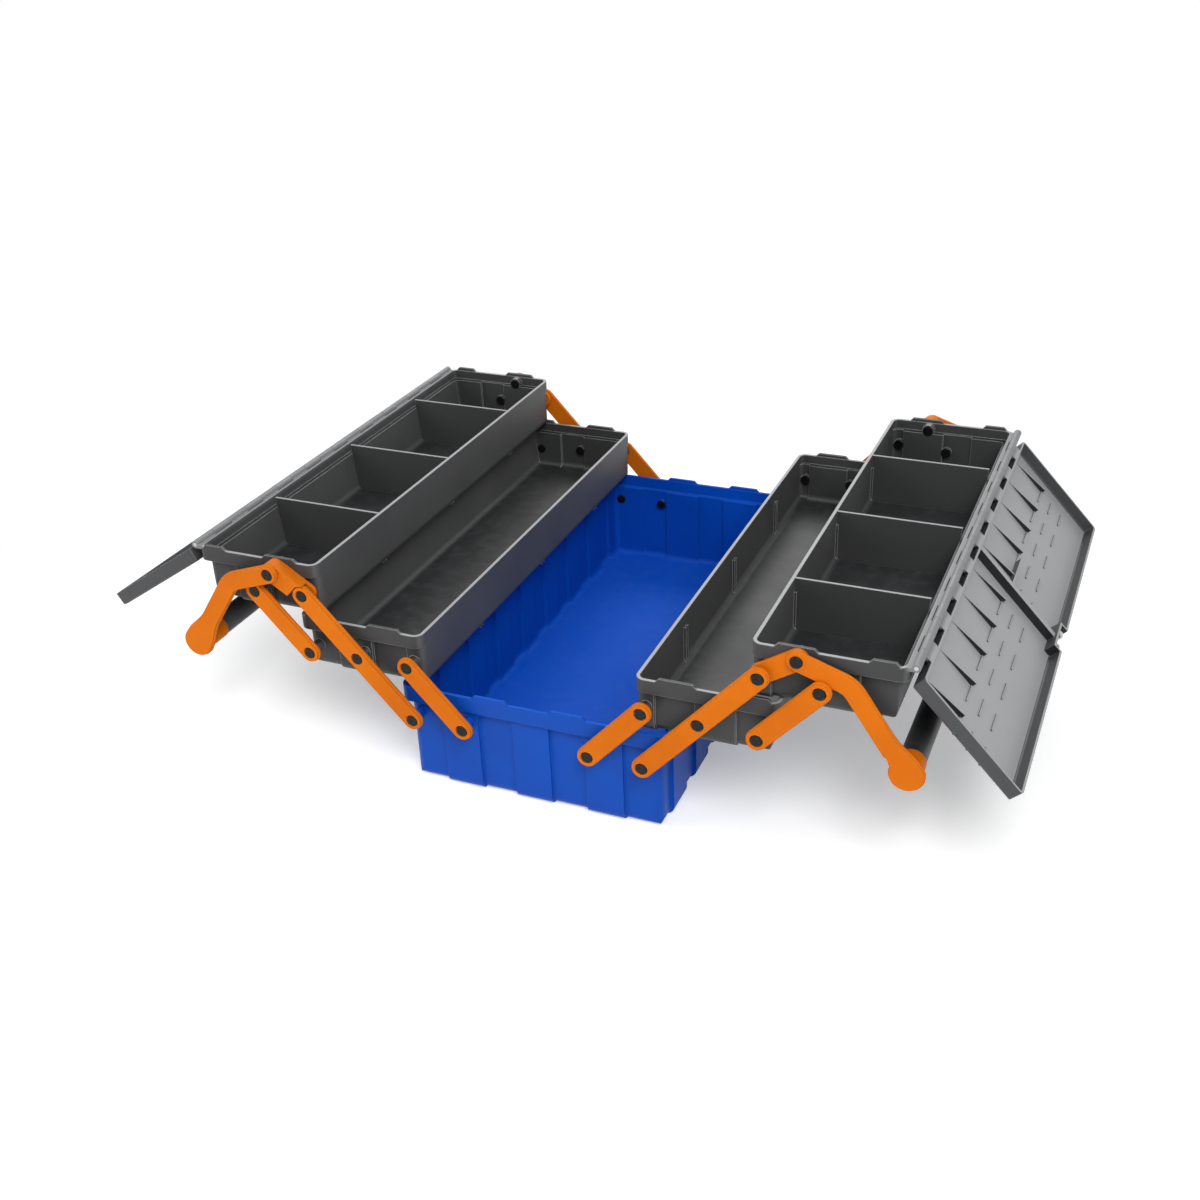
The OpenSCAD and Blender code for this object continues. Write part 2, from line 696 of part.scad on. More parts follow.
// Round bar along the box at the grip.
module grip_rod(y0, y1, r) translate([grip_at[0], y1, grip_at[1]]) rotate([90, 0, 0])
    cylinder(r = r, h = y1 - y0);

// Pieces of the base

module base_tub() color(base_blue) base_body();
module base_rivets() color(rivet_black) for (s = [-1, 1], e = [-1, 1]) on_side(s) on_end(e) {
    link_rivet(lever_base);
    link_rivet(inner_base);
}

// Pieces of both sides, given by the side (-1 left, 1 right) and end (-1 front, 1 rear)

module lower_tray(s) color(tray_grey) on_side(s)
    tray(lower_x, lower_z, [lever_mid, inner_top, outer_base], []);
module upper_tray(s) color(tray_grey) on_side(s) upper_tray_body();
module divider(s, y) color(tray_grey) on_side(s)
    translate([0, y, upper_z + floor_t]) rotate([90, 0, 0]) linear_extrude(divider_t, center = true)
        tub_section(upper_x + wall_t + slide_gap / 2,
            upper_x + tray_w - tray_side_setback - wall_t - slide_gap / 2,
            0, tray_lean, tray_h - floor_t, corner_r - wall_t);
module lower_rivets(s) color(rivet_black) for (e = [-1, 1]) on_side(s) on_end(e)
    for (at = [lever_mid, inner_top, outer_base]) link_rivet(at);
module upper_rivets(s) color(rivet_black) for (e = [-1, 1]) on_side(s) on_end(e)
    for (at = [lever_top, outer_top]) link_rivet(at);
module hinge_rod(s) color(bright_metal) on_side(s)
    translate([hinge_at[0], lid_half, hinge_at[1]]) rotate([90, 0, 0])
        cylinder(r = rod_r, h = 2 * lid_half);
module lid(s, hang) color(lid_grey) on_side(s) hung(hang) lid_closed();
module lid_hasp(s, hang) color(bright_metal) on_side(s) hung(hang) hasp_closed();

module long_lever(s, e) color(link_orange) on_side(s) on_end(e)
    link(lever_base, lever_top, [lever_mid], false);
module inner_link(s, e) color(link_orange) on_side(s) on_end(e)
    link(inner_base, inner_top, [], true);
module outer_link(s, e) color(link_orange) on_side(s) on_end(e)
    link(outer_base, outer_top, [], true);

// The handles' arms lie outside the links at one end and behind them at the other.
module handle_arm_at(s, e) color(link_orange) on_side(s) on_end(e)
    if (s == e) outer_arm(); else inner_arm();
module handle_bracket(s, e) color(link_orange) on_side(s) on_end(e) {
    bracket_plate();
    if (s == e) bracket_block();
}
module handle_grip(s) color(tray_grey) on_side(s) on_end(-s) grip_bar();
module arm_rivets(s) color(rivet_black) for (e = [-1, 1]) on_side(s) on_end(e)
    rivet(handle_pivot, s == e ? outer_arm_off + outer_arm_t - rivet_head_t - head_lift
        : inner_arm_off + inner_arm_t + head_lift);

// Pieces of the left side

module left_lower_tray() lower_tray(-1);
module left_lower_tray_rivets() lower_rivets(-1);
module left_upper_tray() upper_tray(-1);
module left_upper_tray_rivets() upper_rivets(-1);
module left_front_divider() divider(-1, divider_ys[0]);
module left_middle_divider() divider(-1, divider_ys[1]);
module left_rear_divider() divider(-1, divider_ys[2]);
module left_hinge_rod() hinge_rod(-1);
module left_lid() lid(-1, left_hang);
module left_lid_hasp() lid_hasp(-1, left_hang);
module left_front_long_lever() long_lever(-1, -1);
module left_rear_long_lever() long_lever(-1, 1);
module left_front_inner_link() inner_link(-1, -1);
module left_rear_inner_link() inner_link(-1, 1);
module left_front_outer_link() outer_link(-1, -1);
module left_rear_outer_link() outer_link(-1, 1);
module left_front_handle_bracket() handle_bracket(-1, -1);
module left_rear_handle_bracket() handle_bracket(-1, 1);
module left_front_handle_arm() handle_arm_at(-1, -1);
module left_rear_handle_arm() handle_arm_at(-1, 1);
module left_grip() handle_grip(-1);
module left_handle_rivets() arm_rivets(-1);

// Pieces of the right side

module right_lower_tray() lower_tray(1);
module right_lower_tray_rivets() lower_rivets(1);
module right_upper_tray() upper_tray(1);
module right_upper_tray_rivets() upper_rivets(1);
module right_front_divider() divider(1, divider_ys[0]);
module right_middle_divider() divider(1, divider_ys[1]);
module right_rear_divider() divider(1, divider_ys[2]);
module right_hinge_rod() hinge_rod(1);
module right_lid() lid(1, right_hang);
module right_lid_hasp() lid_hasp(1, right_hang);
module right_front_long_lever() long_lever(1, -1);
module right_rear_long_lever() long_lever(1, 1);
module right_front_inner_link() inner_link(1, -1);
module right_rear_inner_link() inner_link(1, 1);
module right_front_outer_link() outer_link(1, -1);
module right_rear_outer_link() outer_link(1, 1);
module right_front_handle_bracket() handle_bracket(1, -1);
module right_rear_handle_bracket() handle_bracket(1, 1);
module right_front_handle_arm() handle_arm_at(1, -1);
module right_rear_handle_arm() handle_arm_at(1, 1);
module right_grip() handle_grip(1);
module right_handle_rivets() arm_rivets(1);

// What is drawn

base_tub();
base_rivets();
left_lower_tray();
left_lower_tray_rivets();
left_upper_tray();
left_upper_tray_rivets();
left_front_divider();
left_middle_divider();
left_rear_divider();
left_hinge_rod();
left_lid();
left_lid_hasp();
left_front_long_lever();
left_rear_long_lever();
left_front_inner_link();
left_rear_inner_link();
left_front_outer_link();
left_rear_outer_link();
left_front_handle_bracket();
left_rear_handle_bracket();
left_front_handle_arm();
left_rear_handle_arm();
left_grip();
left_handle_rivets();
right_lower_tray();
right_lower_tray_rivets();
right_upper_tray();
right_upper_tray_rivets();
right_front_divider();
right_middle_divider();
right_rear_divider();
right_hinge_rod();
right_lid();
right_lid_hasp();
right_front_long_lever();
right_rear_long_lever();
right_front_inner_link();
right_rear_inner_link();
right_front_outer_link();
right_rear_outer_link();
right_front_handle_bracket();
right_rear_handle_bracket();
right_front_handle_arm();
right_rear_handle_arm();
right_grip();
right_handle_rivets();
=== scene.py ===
# %% [markdown] # A cantilever tool box, opened out  The real object is a box
# moulded in plastic. A blue base carries two dark grey trays on each side, orange
# levers swing them apart, and a thin lid hangs from the outer rim of each upper
# tray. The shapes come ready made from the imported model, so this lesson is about
# what makes moulded plastic look moulded: small round edges, a fine grain, a soft
# gloss and a little dust and wear.

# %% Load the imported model
import json
import math

import bpy
from mathutils import Matrix, Vector

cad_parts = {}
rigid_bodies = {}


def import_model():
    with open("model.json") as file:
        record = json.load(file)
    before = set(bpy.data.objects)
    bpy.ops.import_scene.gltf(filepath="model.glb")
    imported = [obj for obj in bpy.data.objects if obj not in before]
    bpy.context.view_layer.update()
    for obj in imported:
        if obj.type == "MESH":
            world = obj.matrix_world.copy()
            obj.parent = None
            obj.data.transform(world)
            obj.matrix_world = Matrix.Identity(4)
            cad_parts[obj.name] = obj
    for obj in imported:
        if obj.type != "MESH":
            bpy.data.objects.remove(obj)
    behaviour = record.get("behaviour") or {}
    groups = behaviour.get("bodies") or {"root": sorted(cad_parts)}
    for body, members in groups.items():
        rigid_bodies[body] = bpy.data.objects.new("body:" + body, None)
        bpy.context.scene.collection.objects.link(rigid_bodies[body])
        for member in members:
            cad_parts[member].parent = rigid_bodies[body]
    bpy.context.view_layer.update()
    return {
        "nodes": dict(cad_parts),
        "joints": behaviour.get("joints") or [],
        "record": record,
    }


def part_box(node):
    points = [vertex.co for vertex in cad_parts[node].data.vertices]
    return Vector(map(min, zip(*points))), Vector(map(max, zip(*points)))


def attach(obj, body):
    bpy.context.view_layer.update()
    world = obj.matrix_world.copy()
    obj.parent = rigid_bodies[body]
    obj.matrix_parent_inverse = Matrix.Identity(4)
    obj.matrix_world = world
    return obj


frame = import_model()
print("pieces in the packed model:", len(frame["nodes"]))

# %% [markdown]
# ## The camera
#
# A photograph fixes where the camera stood. That place could be found by eye, with
# many small moves. Here it was worked out from the corners of the base and the
# trays, which is close enough to lay one picture over the other. A camera looks
# along its own -Z, so the matrix takes right, up and backwards as its columns. The
# rightward direction is made square to the view first, so that nothing is sheared.

# %% Place the camera
camera_place = Vector((0.4324, -1.0527, 0.6894))
camera_right = Vector((0.922, 0.386, -0.036))
camera_ahead = Vector((-0.355, 0.804, -0.477))
lens_mm, sensor_mm = 43.64, 36.0
nearest_m, furthest_m = 0.05, 30.0

camera_back = -camera_ahead.normalized()
camera_right = (camera_right - camera_right.dot(camera_back) * camera_back).normalized()
camera_up = camera_back.cross(camera_right)
turn = Matrix((camera_right, camera_up, camera_back)).transposed().to_4x4()

camera_data = bpy.data.cameras.new("photo_camera")
camera_data.lens, camera_data.sensor_width = lens_mm, sensor_mm
camera_data.clip_start, camera_data.clip_end = nearest_m, furthest_m
camera = bpy.data.objects.new("photo_camera", camera_data)
camera.matrix_world = Matrix.Translation(camera_place) @ turn
bpy.context.scene.collection.objects.link(camera)
bpy.context.scene.camera = camera
bpy.context.scene.view_settings.view_transform = "Standard"
print("camera distance from the box:", round(camera_place.length, 2), "m")

# %% [markdown]
# ## Building materials from nodes
#
# Every finish below is a small graph of nodes. Writing `nodes.new` and `links.new`
# again and again hides the idea, so a little class keeps the graph, and one method
# adds a node with its settings and inputs in a single line. An input may be a plain
# value or the output of another node. The same class builds the world's graph.

# %% A helper for node graphs
class Finish:
    """The node graph of a material, or of the world, under construction."""

    def __init__(self, owner, output_kind="OutputMaterial"):
        self.owner = owner
        owner.use_nodes = True
        self.nodes = owner.node_tree.nodes
        self.links = owner.node_tree.links
        self.nodes.clear()
        self.output = self.nodes.new("ShaderNode" + output_kind)

    def add(self, kind, inputs=None, **settings):
        node = self.nodes.new("ShaderNode" + kind)
        for key, value in settings.items():
            setattr(node, key, value)
        for key, value in (inputs or {}).items():
            if isinstance(value, bpy.types.NodeSocket):
                self.links.new(value, node.inputs[key])
            else:
                node.inputs[key].default_value = value
        return node

    def surface(self, shader):
        self.links.new(shader.outputs[0], self.output.inputs["Surface"])
        return self.owner


print("kinds of shader node on offer:", sum(kind.startswith("ShaderNode") for kind in dir(bpy.types)))

# %% [markdown]
# ## Sums on nodes
#
# Most of a finish is sums: multiply two shares, blend two colours, turn a range of
# one value into a range of another. Blender has a node for each. A short function
# for each keeps the finishes readable. `xyz` splits a direction or a place into its
# three numbers.

# %% Sums, blends, ranges and noise
def rgba(red, green, blue):
    return (red, green, blue, 1.0)


def maths(finish, operation, a, b=0.0, clamp=False):
    return finish.add("Math", {0: a, 1: b}, operation=operation, use_clamp=clamp).outputs[0]


def times(finish, a, b):
    return maths(finish, "MULTIPLY", a, b)


def blend(finish, share, a, b):
    """Colour a where the share is 0 and colour b where it is 1."""
    return finish.add("Mix", {0: share, 6: a, 7: b}, data_type="RGBA").outputs[2]


def ramp(finish, value, low, high, from_value=0.0, to_value=1.0):
    """Map low..high to from_value..to_value, with the ends held."""
    node = finish.add("MapRange", {0: value, 1: low, 2: high, 3: from_value, 4: to_value})
    return node.outputs[0]


def xyz(finish, vector):
    return finish.add("SeparateXYZ", {0: vector}).outputs


def noise(finish, place, per_metre, detail):
    node = finish.add("TexNoise", {"Vector": place, "Scale": per_metre, "Detail": detail})
    return node.outputs["Fac"]


print("a plain colour as the nodes take it:", rgba(0.5, 0.5, 0.5))

# %% [markdown]
# ## Masks by direction
#
# A moulding is one plastic, and still it doesn't look the same all over. Floors are scuffed, and they
# also carry painted light on the blue base and painted shade in the trays; end walls carry painted
# shade, and edges are rubbed and carry a painted highlight. That could be painted on an image, but
# then every face needs its place on that image. A mask made of nodes needs none: it works out a share
# from 0 to 1 from where a point lies and which way it faces. Dust falls from above, so `faces_up`
# goes by the direction in the room, and the painted light and shade of the floors use the same mask.
# The others go by the direction on the piece itself, so they stay put as it moves.

# %% Masks by direction
DUST_LIES = (0.6, 1.0)
SKIN_LIKENESS = (0.9, 0.97)
MOSTLY_ALONG = (0.7, 0.9)
END_WALL_COVER = 0.85


def faces_up(finish):
    """1 on faces that look up in the room."""
    normal = xyz(finish, finish.add("NewGeometry").outputs["Normal"])
    return ramp(finish, normal["Z"], *DUST_LIES)


def facing(direction):
    """A mask of the faces whose own normal points along a direction of the piece."""
    def mask(finish):
        own_normal = finish.add("TexCoord").outputs["Normal"]
        likeness = finish.add("VectorMath", {0: own_normal, 1: direction}, operation="DOT_PRODUCT")
        return ramp(finish, likeness.outputs["Value"], *SKIN_LIKENESS)
    return mask


def looks_along(finish):
    """1 on faces that look along the box, to its front or its rear."""
    own_normal = xyz(finish, finish.add("TexCoord").outputs["Normal"])
    return ramp(finish, maths(finish, "ABSOLUTE", own_normal["Y"]), *MOSTLY_ALONG)


def painted_end_wall_shade(finish):
    """Painted shade most of the way on end walls and dividers, so that their flow marks stay."""
    return times(finish, looks_along(finish), END_WALL_COVER)


# The coat on the end walls is painted shade, and this is its share.
print("end walls take", round(100 * END_WALL_COVER), "% of their own colour")

# %% [markdown]
# ## Masks by place
#
# The top of each rim is a narrow round bead that catches the light all the way along, and so do the
# knuckles of the hinges; both carry a pale line of painted highlight. Inside each lid, thin ribs
# stand across it, and their sides carry painted shade as dark lines. Their faces could be picked by
# hand, but the pick would be lost each time the model is packed again. All of them lie at known
# places in the box, so each mask is a test of place: a height for the rims, a distance from the hinge
# line, and the lid's inside between its two end walls. The imported model's list of joints says where
# the hinge line is, which is as high as the rim of an upper tray.

# %% Masks by place
joints = {joint["name"]: joint for joint in frame["joints"]}
hinge_x, _, hinge_z = joints["right_lid_hinge"]["pos_m"]
HINGE_REACH = (0.0055, 0.0075)
LOWER_RIM = 0.1349
RIM_NEAR, RIM_FAR = 0.0007, 0.0012
RIM_LOOKS_UP = (0.5, 0.9)
LID_INSIDE = (0.205, 0.21)


def painted_rim_highlight(finish):
    """1 on faces that look up at the height of a tray's rim, where the painted highlight goes."""
    normal = xyz(finish, finish.add("NewGeometry").outputs["Normal"])
    place = xyz(finish, finish.add("TexCoord").outputs["Object"])
    total = 0.0
    for height in (LOWER_RIM, hinge_z):
        above = ramp(finish, place["Z"], height - RIM_FAR, height - RIM_NEAR)
        below = ramp(finish, place["Z"], height + RIM_NEAR, height + RIM_FAR, 1.0, 0.0)
        total = maths(finish, "ADD", total, times(finish, above, below), clamp=True)
    return times(finish, total, ramp(finish, normal["Z"], *RIM_LOOKS_UP))


def painted_hinge_highlight(finish):
    """1 within a few millimetres of either hinge line, where the painted highlight goes."""
    place = xyz(finish, finish.add("TexCoord").outputs["Object"])
    out = maths(finish, "SUBTRACT", maths(finish, "ABSOLUTE", place["X"]), hinge_x)
    up = maths(finish, "SUBTRACT", place["Z"], hinge_z)
    flat_away = finish.add("CombineXYZ", {0: out, 1: 0.0, 2: up}).outputs[0]
    away = finish.add("VectorMath", {0: flat_away}, operation="LENGTH").outputs["Value"]
    return ramp(finish, away, *HINGE_REACH, 1.0, 0.0)


def rib_sides(finish):
    """1 on the sides of the ribs inside a lid, where the painted shade goes, and 0 on its end walls.
    """
    place = xyz(finish, finish.add("TexCoord").outputs["Object"])
    inside = ramp(finish, maths(finish, "ABSOLUTE", place["Y"]), *LID_INSIDE, 1.0, 0.0)
    return times(finish, looks_along(finish), inside)


print("hinge lines", round(1000 * hinge_x, 1), "mm out and", round(1000 * hinge_z, 1), "mm up")

# %% [markdown]
# ## Rubbed edges with a painted highlight
#
# Every corner of a moulding has a small radius, and it is rubbed paler than the rest; the pale colour
# there is also a painted highlight, the light that a small round edge catches. Rounding every edge of
# the mesh would cost many thousands of faces. The Bevel node costs none: it gives a normal that is
# averaged round each point. Wherever that differs from the true normal there is an edge, so the same
# node also says where the wear and the painted highlight go.

# %% Find the rubbed edges and their painted highlight
EDGE_RADIUS, EDGE_SAMPLES = 0.001, 6
EDGE_TURN = (0.02, 0.22)


def round_normal(finish):
    """The normal, averaged over the last millimetre before each edge."""
    return finish.add("Bevel", {"Radius": EDGE_RADIUS}, samples=EDGE_SAMPLES).outputs[0]


def rubbed_and_highlit_edges(finish, rounded):
    """1 where the rounded normal leaves the true one."""
    true_normal = finish.add("NewGeometry").outputs["Normal"]
    likeness = finish.add("VectorMath", {0: rounded, 1: true_normal}, operation="DOT_PRODUCT")
    turned = maths(finish, "SUBTRACT", 1.0, likeness.outputs["Value"])
    return ramp(finish, turned, *EDGE_TURN)


print("edges are rounded over", 1000 * EDGE_RADIUS, "mm")

# %% [markdown]
# ## Coats, dust and gloss
#
# The colour of a moulding lies in the plastic, and what changes it lies on top: dust, and coats of
# painted light and shade. So the finish is laid on as a painter would do it, one coat over the other,
# each with a mask that says where it goes. One big formula could give the same colour, but a list of
# coats can be read and changed one by one. Dust lies thin and patchy, and both dust and scuffs take
# away gloss, which the roughness has to say as well.

# %% Lay on coats and dull the gloss
FLOW_GLOSS, SMOOTHER, ROUGHER = (0.2, 0.8), -0.05, 0.07
DUST_PATCHES, DUST_ROUGHENS = (0.45, 0.75), 0.6
DUST_GREY = (0.5, 0.5, 0.5)


def lay_on(finish, body, coats):
    """Each coat is a mask and the colour that it lays over what is below."""
    for mask, coat in coats:
        body = blend(finish, mask(finish), body, rgba(*coat))
    return body


def dull_gloss(finish, flow, dusty, upward, roughness, scuffed):
    """A roughness that wanders with the flow, and rises under dust and scuffs."""
    rough = ramp(finish, flow, *FLOW_GLOSS, roughness + SMOOTHER, roughness + ROUGHER)
    rough = maths(finish, "ADD", rough, times(finish, dusty, DUST_ROUGHENS))
    return maths(finish, "ADD", rough, times(finish, upward, scuffed))


print("the flow moves the roughness by", round(ROUGHER - SMOOTHER, 2))

# %% [markdown]
# ## Moulded plastic
#
# A moulding has a spark-eroded grain of about half a millimetre, and slow changes in colour and gloss
# where the melt flowed. A single colour would look like paint, and an image would show its own grain
# when seen close. So both come from noise at their real scale: a coarse one for the flow, a fine one
# as a bump. Coats of painted light and shade lie under the dust, trims of painted highlight lie over
# it, and the rubbed edges with their painted highlight come last of all.

# %% Build a moulded plastic
GRAIN_PER_METRE, FLOW_PER_METRE, DUST_PER_METRE = 1900.0, 14.0, 90.0
GRAIN_DEPTH, GRAIN_STRENGTH = 0.0004, 0.06
FLOW_COLOUR = (0.3, 0.7)
PLASTIC_IOR = 1.5


def moulded_plastic(name, colour, deep, edge, roughness, coats=(), trims=(),
                    edge_strength=0.5, dust=0.04, shine=0.5, scuffed=0.0):
    """Plastic with flow marks, a grain, a little dust, coats of painted light and shade, and rubbed
    edges with a painted highlight.
    """
    finish = Finish(bpy.data.materials.new(name))
    place = finish.add("TexCoord").outputs["Object"]
    flow = noise(finish, place, FLOW_PER_METRE, 4.0)
    speck = noise(finish, place, DUST_PER_METRE, 6.0)
    fine = noise(finish, place, GRAIN_PER_METRE, 2.0)
    upward, rounded = faces_up(finish), round_normal(finish)
    dusty = times(finish, times(finish, upward, ramp(finish, speck, *DUST_PATCHES)), dust)

    body = blend(finish, ramp(finish, flow, *FLOW_COLOUR), rgba(*deep), rgba(*colour))
    body = lay_on(finish, body, coats)
    body = blend(finish, dusty, body, rgba(*DUST_GREY))
    body = lay_on(finish, body, trims)
    # Rubbed edges, paler from wear and from a painted highlight.
    edge_wear_and_highlight = times(finish, rubbed_and_highlit_edges(finish, rounded), edge_strength)
    body = blend(finish, edge_wear_and_highlight, body, rgba(*edge))

    rough = dull_gloss(finish, flow, dusty, upward, roughness, scuffed)
    bump = finish.add("Bump", {
        "Strength": GRAIN_STRENGTH, "Distance": GRAIN_DEPTH, "Height": fine, "Normal": rounded})
    shader = finish.add("BsdfPrincipled", {
        "Base Color": body, "Roughness": rough, "Normal": bump.outputs[0]})
    shader.inputs["IOR"].default_value = PLASTIC_IOR
    shader.inputs["Specular IOR Level"].default_value = shine
    return finish.surface(shader)


print("a grain every", round(1000 / GRAIN_PER_METRE, 2), "mm")

# %% [markdown]
# ## The blue base
#
# The base is a deep tub in a strong blue. Its floor is the part that tools slide over, so it is
# scuffed and a good deal duller than the walls. It is also a little paler than the walls, which is
# painted light on the faces that look up. One material for the floor and one for the walls would
# leave a hard line between them, and the coat on faces that look up follows the round of the corner
# instead.

# %% Blue plastic
# The coat on faces that look up is painted light: a paler floor.
blue_plastic = moulded_plastic(
    "blue_plastic", colour=(0.001, 0.072, 0.45), deep=(0.001, 0.062, 0.4),
    edge=(0.015, 0.15, 0.62), roughness=0.42, edge_strength=0.4, dust=0.015, shine=0.18,
    coats=[(faces_up, (0.001, 0.082, 0.54))], scuffed=0.3)
print("made:", blue_plastic.name)

# %% [markdown]
# ## The dark grey trays and grips
#
# Trays, dividers and grips are one dark grey. The walls that look along the box look darker than
# those that look across it, and the floors darker still, while the rims and the hinges draw pale
# lines. Lamps alone gave too little of that difference, so two coats of painted shade and two trims
# of painted highlight carry the rest.

# %% Dark grey plastic
# Painted highlight on the hinge knuckles.
HINGE_HIGHLIGHT_GREY = (0.2, 0.203, 0.206)
# Coats: painted shade on the end walls and the floors. Trims: painted highlight on the rims and the
# hinges. The pale edges are wear and a painted highlight.
tray_plastic = moulded_plastic(
    "dark_grey_plastic", colour=(0.095, 0.096, 0.097), deep=(0.075, 0.076, 0.077),
    edge=(0.5, 0.5, 0.5), roughness=0.5, edge_strength=0.7, shine=0.35,
    coats=[(painted_end_wall_shade, (0.035, 0.0355, 0.036)), (faces_up, (0.021, 0.022, 0.023))],
    trims=[(painted_rim_highlight, (0.33, 0.33, 0.33)), (painted_hinge_highlight, HINGE_HIGHLIGHT_GREY)])
print("made:", tray_plastic.name)

# %% [markdown]
# ## The lids
#
# A lid shows its inside here. The skin carries painted light, since it looks up at the lamps as the
# lid hangs, and the sides of the ribs carry painted shade; the walls round it are dark plastic. The
# skin could be cut off as a mesh of its own, but a real lid is one moulding. So it is found by its
# direction, which is the lid's hanging angle turned into a vector. To lie shut, a lid turns by that
# angle and half a circle more, so the hinge's range gives the angle. It differs from side to side,
# and each lid has a finish of its own.

# %% Lid plastics
# Painted light on the lid's skin and painted shade on the sides of its ribs.
LID_SKIN_PAINTED_LIGHT, RIB_SHADE = (0.33, 0.335, 0.34), (0.006, 0.006, 0.0065)


def lid_plastic(side_name, side):
    """Painted shade on the rib sides and dark walls round a skin of painted light."""
    shut_degrees = joints[f"{side_name}_lid_hinge"]["range_deg"][1]
    hang = math.radians(shut_degrees - 180.0)
    skin = facing((side * math.sin(hang), 0.0, math.cos(hang)))
    return moulded_plastic(
        f"{side_name}_lid_plastic", colour=(0.055, 0.056, 0.058), deep=(0.042, 0.043, 0.045),
        edge=(0.3, 0.3, 0.3), roughness=0.5, edge_strength=0.4,
        coats=[(skin, LID_SKIN_PAINTED_LIGHT), (rib_sides, RIB_SHADE)], trims=[(painted_hinge_highlight, HINGE_HIGHLIGHT_GREY)])


lid_plastics = {"left_lid": lid_plastic("left", -1), "right_lid": lid_plastic("right", 1)}
print("made:", [plastic.name for plastic in lid_plastics.values()])

# %% [markdown]
# ## Orange levers and black rivets
#
# The levers, links and handle arms are bright orange with hardly any shine, so that they stand out
# against the grey. The rivets that join them are nearly black and a little glossier. Coats of painted
# shade for their faces could be added as on the trays, but the flow marks, the grain and the rubbed
# edges with their painted highlight are enough on such small pieces.

# %% Orange and black plastic
orange_plastic = moulded_plastic(
    "orange_plastic", colour=(0.74, 0.175, 0.004), deep=(0.63, 0.14, 0.004),
    edge=(0.9, 0.32, 0.03), roughness=0.48, edge_strength=0.4, dust=0.005, shine=0.08)
rivet_plastic = moulded_plastic(
    "black_rivets", colour=(0.006, 0.006, 0.0065), deep=(0.004, 0.004, 0.0045),
    edge=(0.05, 0.05, 0.05), roughness=0.3, dust=0.01, shine=0.25)
print("made:", orange_plastic.name, "and", rivet_plastic.name)

# %% [markdown]
# ## Plated steel
#
# The hinge rods and the hasps are plated steel. A plain metal shader would look
# like a mirror. Plating has a slightly uneven roughness, and fine lines left by
# drawing the wire, which a noise stretched along the rod gives as a bump.

# %% Plated steel
WIRE_LINES = (2200.0, 40.0, 2200.0)
CLOUDS_PER_METRE = 120.0
DULL_ZINC, BRIGHT_ZINC = (0.5, 0.5, 0.49), (0.7, 0.7, 0.7)
LINE_STRENGTH, LINE_DEPTH = 0.12, 0.0002
CLOUD_RANGE, ZINC_ROUGHNESS = (0.2, 0.8), (0.28, 0.42)


def plated_metal(name):
    """Metal with a clouded roughness and fine lines along the box."""
    finish = Finish(bpy.data.materials.new(name))
    place = finish.add("TexCoord").outputs["Object"]
    stretched = finish.add("Mapping", {"Vector": place, "Scale": WIRE_LINES})
    lines = noise(finish, stretched.outputs[0], 1.0, 3.0)
    cloud = noise(finish, place, CLOUDS_PER_METRE, 4.0)
    colour = blend(finish, cloud, rgba(*DULL_ZINC), rgba(*BRIGHT_ZINC))
    bump = finish.add("Bump", {"Strength": LINE_STRENGTH, "Distance": LINE_DEPTH, "Height": lines})
    shader = finish.add("BsdfPrincipled", {
        "Base Color": colour, "Normal": bump.outputs[0],
        "Roughness": ramp(finish, cloud, *CLOUD_RANGE, *ZINC_ROUGHNESS)})
    shader.inputs["Metallic"].default_value = 1.0
    return finish.surface(shader)


steel = plated_metal("plated_steel")
print("made:", steel.name)

# %% [markdown]
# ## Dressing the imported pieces
#
# The record says which finish each piece takes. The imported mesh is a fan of
# triangles, and plain smooth shading would smear light across its flats. Welding
# joins the faces that the mesh keeps apart, a split at every crease keeps light from
# bleeding round it, and weighted normals keep the broad flats flat. All three are
# modifiers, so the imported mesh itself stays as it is.

# %% Give each piece its finish and clean shading
FINISHES = {
    "blue_plastic": blue_plastic,
    "dark_grey_plastic": tray_plastic,
    "orange_plastic": orange_plastic,
    "black_rivets": rivet_plastic,
    "plated_steel": steel,
}
WELD_WITHIN = 0.00001
CREASE = math.radians(35)


def shade_cleanly(piece):
    """Shade the round faces smoothly and the flat ones flat."""
    for face in piece.data.polygons:
        face.use_smooth = True
    piece.modifiers.new("weld", "WELD").merge_threshold = WELD_WITHIN
    piece.modifiers.new("crease", "EDGE_SPLIT").split_angle = CREASE
    piece.modifiers.new("normals", "WEIGHTED_NORMAL")


dressed = 0
for part in frame["record"]["subparts"]:
    piece = bpy.data.objects[part["node"]]
    piece.data.materials.clear()
    piece.data.materials.append(
        lid_plastics.get(part["node"]) or FINISHES[part["material_slot"]])
    shade_cleanly(piece)
    dressed += 1
print("pieces dressed:", dressed)

# %% [markdown]
# ## The handle ends
#
# Each handle arm swells smoothly into the round end that holds the grip. The packed
# arm has a plain disc there. Sculpting the swelling would be hard to keep true, so
# it is worked out: a thin sleeve of two stepped layers carries the arm's sides into
# the disc, and its half width follows half a cosine wave. The middle of the grip says
# where the disc is, to a tenth of a millimetre. Each layer is open towards the arm
# and the disc, so no edge shows where it starts. The two inner arms swell on one side
# alone: their other side is notched for a pivot of the lower tray, which passes there
# as the box folds.

# %% Shape one layer of a swelling
grip_low, grip_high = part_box("right_grip")
grip_x, _, grip_z = (round(v, 4) for v in (grip_low + grip_high) / 2)
ARM_SLOPE = math.radians(56.0)
ARM_HALF, END_RADIUS = 0.0078, 0.013
SWELL_FROM, SWELL_TO, SWELL_STEPS = 0.030, 0.0025, 14
PROUD, NOTCH_CLEAR = 0.00004, 0.004


